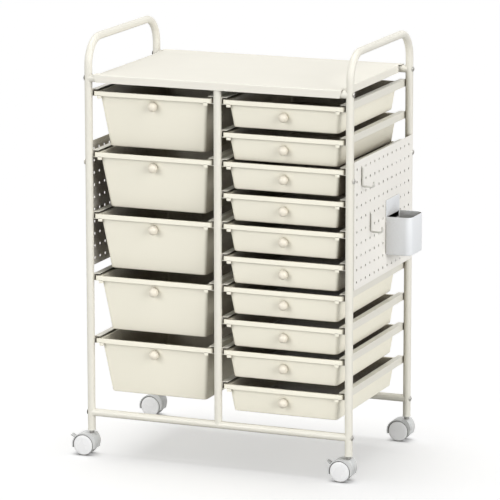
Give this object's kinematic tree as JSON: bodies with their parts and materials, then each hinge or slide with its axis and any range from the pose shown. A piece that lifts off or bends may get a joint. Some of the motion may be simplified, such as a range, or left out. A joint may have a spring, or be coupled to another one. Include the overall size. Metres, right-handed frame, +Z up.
{
  "type": "rolling drawer cart",
  "caption": "Tube-framed rolling storage cart with shallow and deep slide-out drawers, top shelf, perforated side boards, pen bin, hooks and twin-wheel casters.",
  "frame": {"origin": "on the floor, midway between the four posts", "axes": "+Z up, -Y the way the drawers open, +X the side with the pen bin"},
  "size_m": [0.675, 0.379, 0.874],
  "materials": {
    "frame_paint": "satin ivory powder coat",
    "shelf_paint": "satin ivory powder coat",
    "runner_paint": "satin ivory powder coat",
    "board_paint": "satin ivory powder coat",
    "drawer_plastic": "fine matt cream polypropylene",
    "knob_plastic": "semi-gloss cream",
    "bin_plastic": "semi-gloss pale grey white",
    "hook_wire": "grey white coated wire",
    "screw_steel": "dark grey plated",
    "stem_steel": "dark oiled steel",
    "plug_plastic": "pale grey",
    "caster_plastic": "semi-gloss pale grey nylon",
    "wheel_plastic": "pale grey cover on a dark tread"
  },
  "bodies": {
    "frame": {"side_frame_left": "frame_paint", "side_frame_right": "frame_paint", "middle_post_front": "frame_paint", "middle_post_rear": "frame_paint", "top_bars": "frame_paint", "bottom_bars": "frame_paint", "top_shelf": "shelf_paint", "post_end_plugs": "plug_plastic", "caster_stems": "stem_steel", "frame_screws": "screw_steel", "left_runners": "runner_paint", "right_runners": "runner_paint", "pegboard_left": "board_paint", "pegboard_right": "board_paint", "pen_bin": "bin_plastic", "pegboard_hooks": "hook_wire"},
    "deep_drawer_1": {"deep_drawer_1": "drawer_plastic", "deep_knob_1": "knob_plastic"},
    "deep_drawer_2": {"deep_drawer_2": "drawer_plastic", "deep_knob_2": "knob_plastic"},
    "deep_drawer_3": {"deep_drawer_3": "drawer_plastic", "deep_knob_3": "knob_plastic"},
    "deep_drawer_4": {"deep_drawer_4": "drawer_plastic", "deep_knob_4": "knob_plastic"},
    "deep_drawer_5": {"deep_drawer_5": "drawer_plastic", "deep_knob_5": "knob_plastic"},
    "shallow_drawer_1": {"shallow_drawer_1": "drawer_plastic", "shallow_knob_1": "knob_plastic"},
    "shallow_drawer_2": {"shallow_drawer_2": "drawer_plastic", "shallow_knob_2": "knob_plastic"},
    "shallow_drawer_3": {"shallow_drawer_3": "drawer_plastic", "shallow_knob_3": "knob_plastic"},
    "shallow_drawer_4": {"shallow_drawer_4": "drawer_plastic", "shallow_knob_4": "knob_plastic"},
    "shallow_drawer_5": {"shallow_drawer_5": "drawer_plastic", "shallow_knob_5": "knob_plastic"},
    "shallow_drawer_6": {"shallow_drawer_6": "drawer_plastic", "shallow_knob_6": "knob_plastic"},
    "shallow_drawer_7": {"shallow_drawer_7": "drawer_plastic", "shallow_knob_7": "knob_plastic"},
    "shallow_drawer_8": {"shallow_drawer_8": "drawer_plastic", "shallow_knob_8": "knob_plastic"},
    "shallow_drawer_9": {"shallow_drawer_9": "drawer_plastic", "shallow_knob_9": "knob_plastic"},
    "shallow_drawer_10": {"shallow_drawer_10": "drawer_plastic", "shallow_knob_10": "knob_plastic"},
    "caster_front_left": {"caster_housing_front_left": "caster_plastic"},
    "wheel_front_left_outer": {"wheel_front_left_outer": "wheel_plastic"},
    "wheel_front_left_inner": {"wheel_front_left_inner": "wheel_plastic"},
    "brake_front_left": {"brake_lever_front_left": "caster_plastic"},
    "caster_front_right": {"caster_housing_front_right": "caster_plastic"},
    "wheel_front_right_outer": {"wheel_front_right_outer": "wheel_plastic"},
    "wheel_front_right_inner": {"wheel_front_right_inner": "wheel_plastic"},
    "brake_front_right": {"brake_lever_front_right": "caster_plastic"},
    "caster_rear_left": {"caster_housing_rear_left": "caster_plastic"},
    "wheel_rear_left_outer": {"wheel_rear_left_outer": "wheel_plastic"},
    "wheel_rear_left_inner": {"wheel_rear_left_inner": "wheel_plastic"},
    "caster_rear_right": {"caster_housing_rear_right": "caster_plastic"},
    "wheel_rear_right_outer": {"wheel_rear_right_outer": "wheel_plastic"},
    "wheel_rear_right_inner": {"wheel_rear_right_inner": "wheel_plastic"}
  },
  "joints": [
    {"name": "deep_drawer_1_slide", "type": "slide", "parent": "frame", "child": "deep_drawer_1", "axis": [0, -1, 0], "range_m": [0, 0.26]},
    {"name": "deep_drawer_2_slide", "type": "slide", "parent": "frame", "child": "deep_drawer_2", "axis": [0, -1, 0], "range_m": [0, 0.26]},
    {"name": "deep_drawer_3_slide", "type": "slide", "parent": "frame", "child": "deep_drawer_3", "axis": [0, -1, 0], "range_m": [0, 0.26]},
    {"name": "deep_drawer_4_slide", "type": "slide", "parent": "frame", "child": "deep_drawer_4", "axis": [0, -1, 0], "range_m": [0, 0.26]},
    {"name": "deep_drawer_5_slide", "type": "slide", "parent": "frame", "child": "deep_drawer_5", "axis": [0, -1, 0], "range_m": [0, 0.26]},
    {"name": "shallow_drawer_1_slide", "type": "slide", "parent": "frame", "child": "shallow_drawer_1", "axis": [0, -1, 0], "range_m": [0, 0.26]},
    {"name": "shallow_drawer_2_slide", "type": "slide", "parent": "frame", "child": "shallow_drawer_2", "axis": [0, -1, 0], "range_m": [0, 0.26]},
    {"name": "shallow_drawer_3_slide", "type": "slide", "parent": "frame", "child": "shallow_drawer_3", "axis": [0, -1, 0], "range_m": [0, 0.26]},
    {"name": "shallow_drawer_4_slide", "type": "slide", "parent": "frame", "child": "shallow_drawer_4", "axis": [0, -1, 0], "range_m": [0, 0.26]},
    {"name": "shallow_drawer_5_slide", "type": "slide", "parent": "frame", "child": "shallow_drawer_5", "axis": [0, -1, 0], "range_m": [0, 0.26]},
    {"name": "shallow_drawer_6_slide", "type": "slide", "parent": "frame", "child": "shallow_drawer_6", "axis": [0, -1, 0], "range_m": [0, 0.26]},
    {"name": "shallow_drawer_7_slide", "type": "slide", "parent": "frame", "child": "shallow_drawer_7", "axis": [0, -1, 0], "range_m": [0, 0.26]},
    {"name": "shallow_drawer_8_slide", "type": "slide", "parent": "frame", "child": "shallow_drawer_8", "axis": [0, -1, 0], "range_m": [0, 0.26]},
    {"name": "shallow_drawer_9_slide", "type": "slide", "parent": "frame", "child": "shallow_drawer_9", "axis": [0, -1, 0], "range_m": [0, 0.26]},
    {"name": "shallow_drawer_10_slide", "type": "slide", "parent": "frame", "child": "shallow_drawer_10", "axis": [0, -1, 0], "range_m": [0, 0.26]},
    {"name": "caster_front_left_swivel", "type": "hinge", "parent": "frame", "child": "caster_front_left", "pos_m": [-0.2825, -0.1735, 0.04], "axis": [0, 0, 1], "continuous": true},
    {"name": "wheel_front_left_outer_spin", "type": "hinge", "parent": "caster_front_left", "child": "wheel_front_left_outer", "pos_m": [-0.2965, -0.1735, 0.0215], "axis": [0, 1, 0], "continuous": true},
    {"name": "wheel_front_left_inner_spin", "type": "hinge", "parent": "caster_front_left", "child": "wheel_front_left_inner", "pos_m": [-0.2965, -0.1735, 0.0215], "axis": [0, 1, 0], "continuous": true},
    {"name": "brake_front_left_press", "type": "hinge", "parent": "caster_front_left", "child": "brake_front_left", "pos_m": [-0.31295, -0.1735, 0.031], "axis": [0, -1, 0], "range_deg": [0, 16]},
    {"name": "caster_front_right_swivel", "type": "hinge", "parent": "frame", "child": "caster_front_right", "pos_m": [0.2825, -0.1735, 0.04], "axis": [0, 0, 1], "continuous": true},
    {"name": "wheel_front_right_outer_spin", "type": "hinge", "parent": "caster_front_right", "child": "wheel_front_right_outer", "pos_m": [0.2685, -0.1735, 0.0215], "axis": [0, 1, 0], "continuous": true},
    {"name": "wheel_front_right_inner_spin", "type": "hinge", "parent": "caster_front_right", "child": "wheel_front_right_inner", "pos_m": [0.2685, -0.1735, 0.0215], "axis": [0, 1, 0], "continuous": true},
    {"name": "brake_front_right_press", "type": "hinge", "parent": "caster_front_right", "child": "brake_front_right", "pos_m": [0.25205, -0.1735, 0.031], "axis": [0, -1, 0], "range_deg": [0, 16]},
    {"name": "caster_rear_left_swivel", "type": "hinge", "parent": "frame", "child": "caster_rear_left", "pos_m": [-0.2825, 0.1735, 0.04], "axis": [0, 0, 1], "continuous": true},
    {"name": "wheel_rear_left_outer_spin", "type": "hinge", "parent": "caster_rear_left", "child": "wheel_rear_left_outer", "pos_m": [-0.2965, 0.1735, 0.0215], "axis": [0, 1, 0], "continuous": true},
    {"name": "wheel_rear_left_inner_spin", "type": "hinge", "parent": "caster_rear_left", "child": "wheel_rear_left_inner", "pos_m": [-0.2965, 0.1735, 0.0215], "axis": [0, 1, 0], "continuous": true},
    {"name": "caster_rear_right_swivel", "type": "hinge", "parent": "frame", "child": "caster_rear_right", "pos_m": [0.2825, 0.1735, 0.04], "axis": [0, 0, 1], "continuous": true},
    {"name": "wheel_rear_right_outer_spin", "type": "hinge", "parent": "caster_rear_right", "child": "wheel_rear_right_outer", "pos_m": [0.2685, 0.1735, 0.0215], "axis": [0, 1, 0], "continuous": true},
    {"name": "wheel_rear_right_inner_spin", "type": "hinge", "parent": "caster_rear_right", "child": "wheel_rear_right_inner", "pos_m": [0.2685, 0.1735, 0.0215], "axis": [0, 1, 0], "continuous": true}
  ]
}
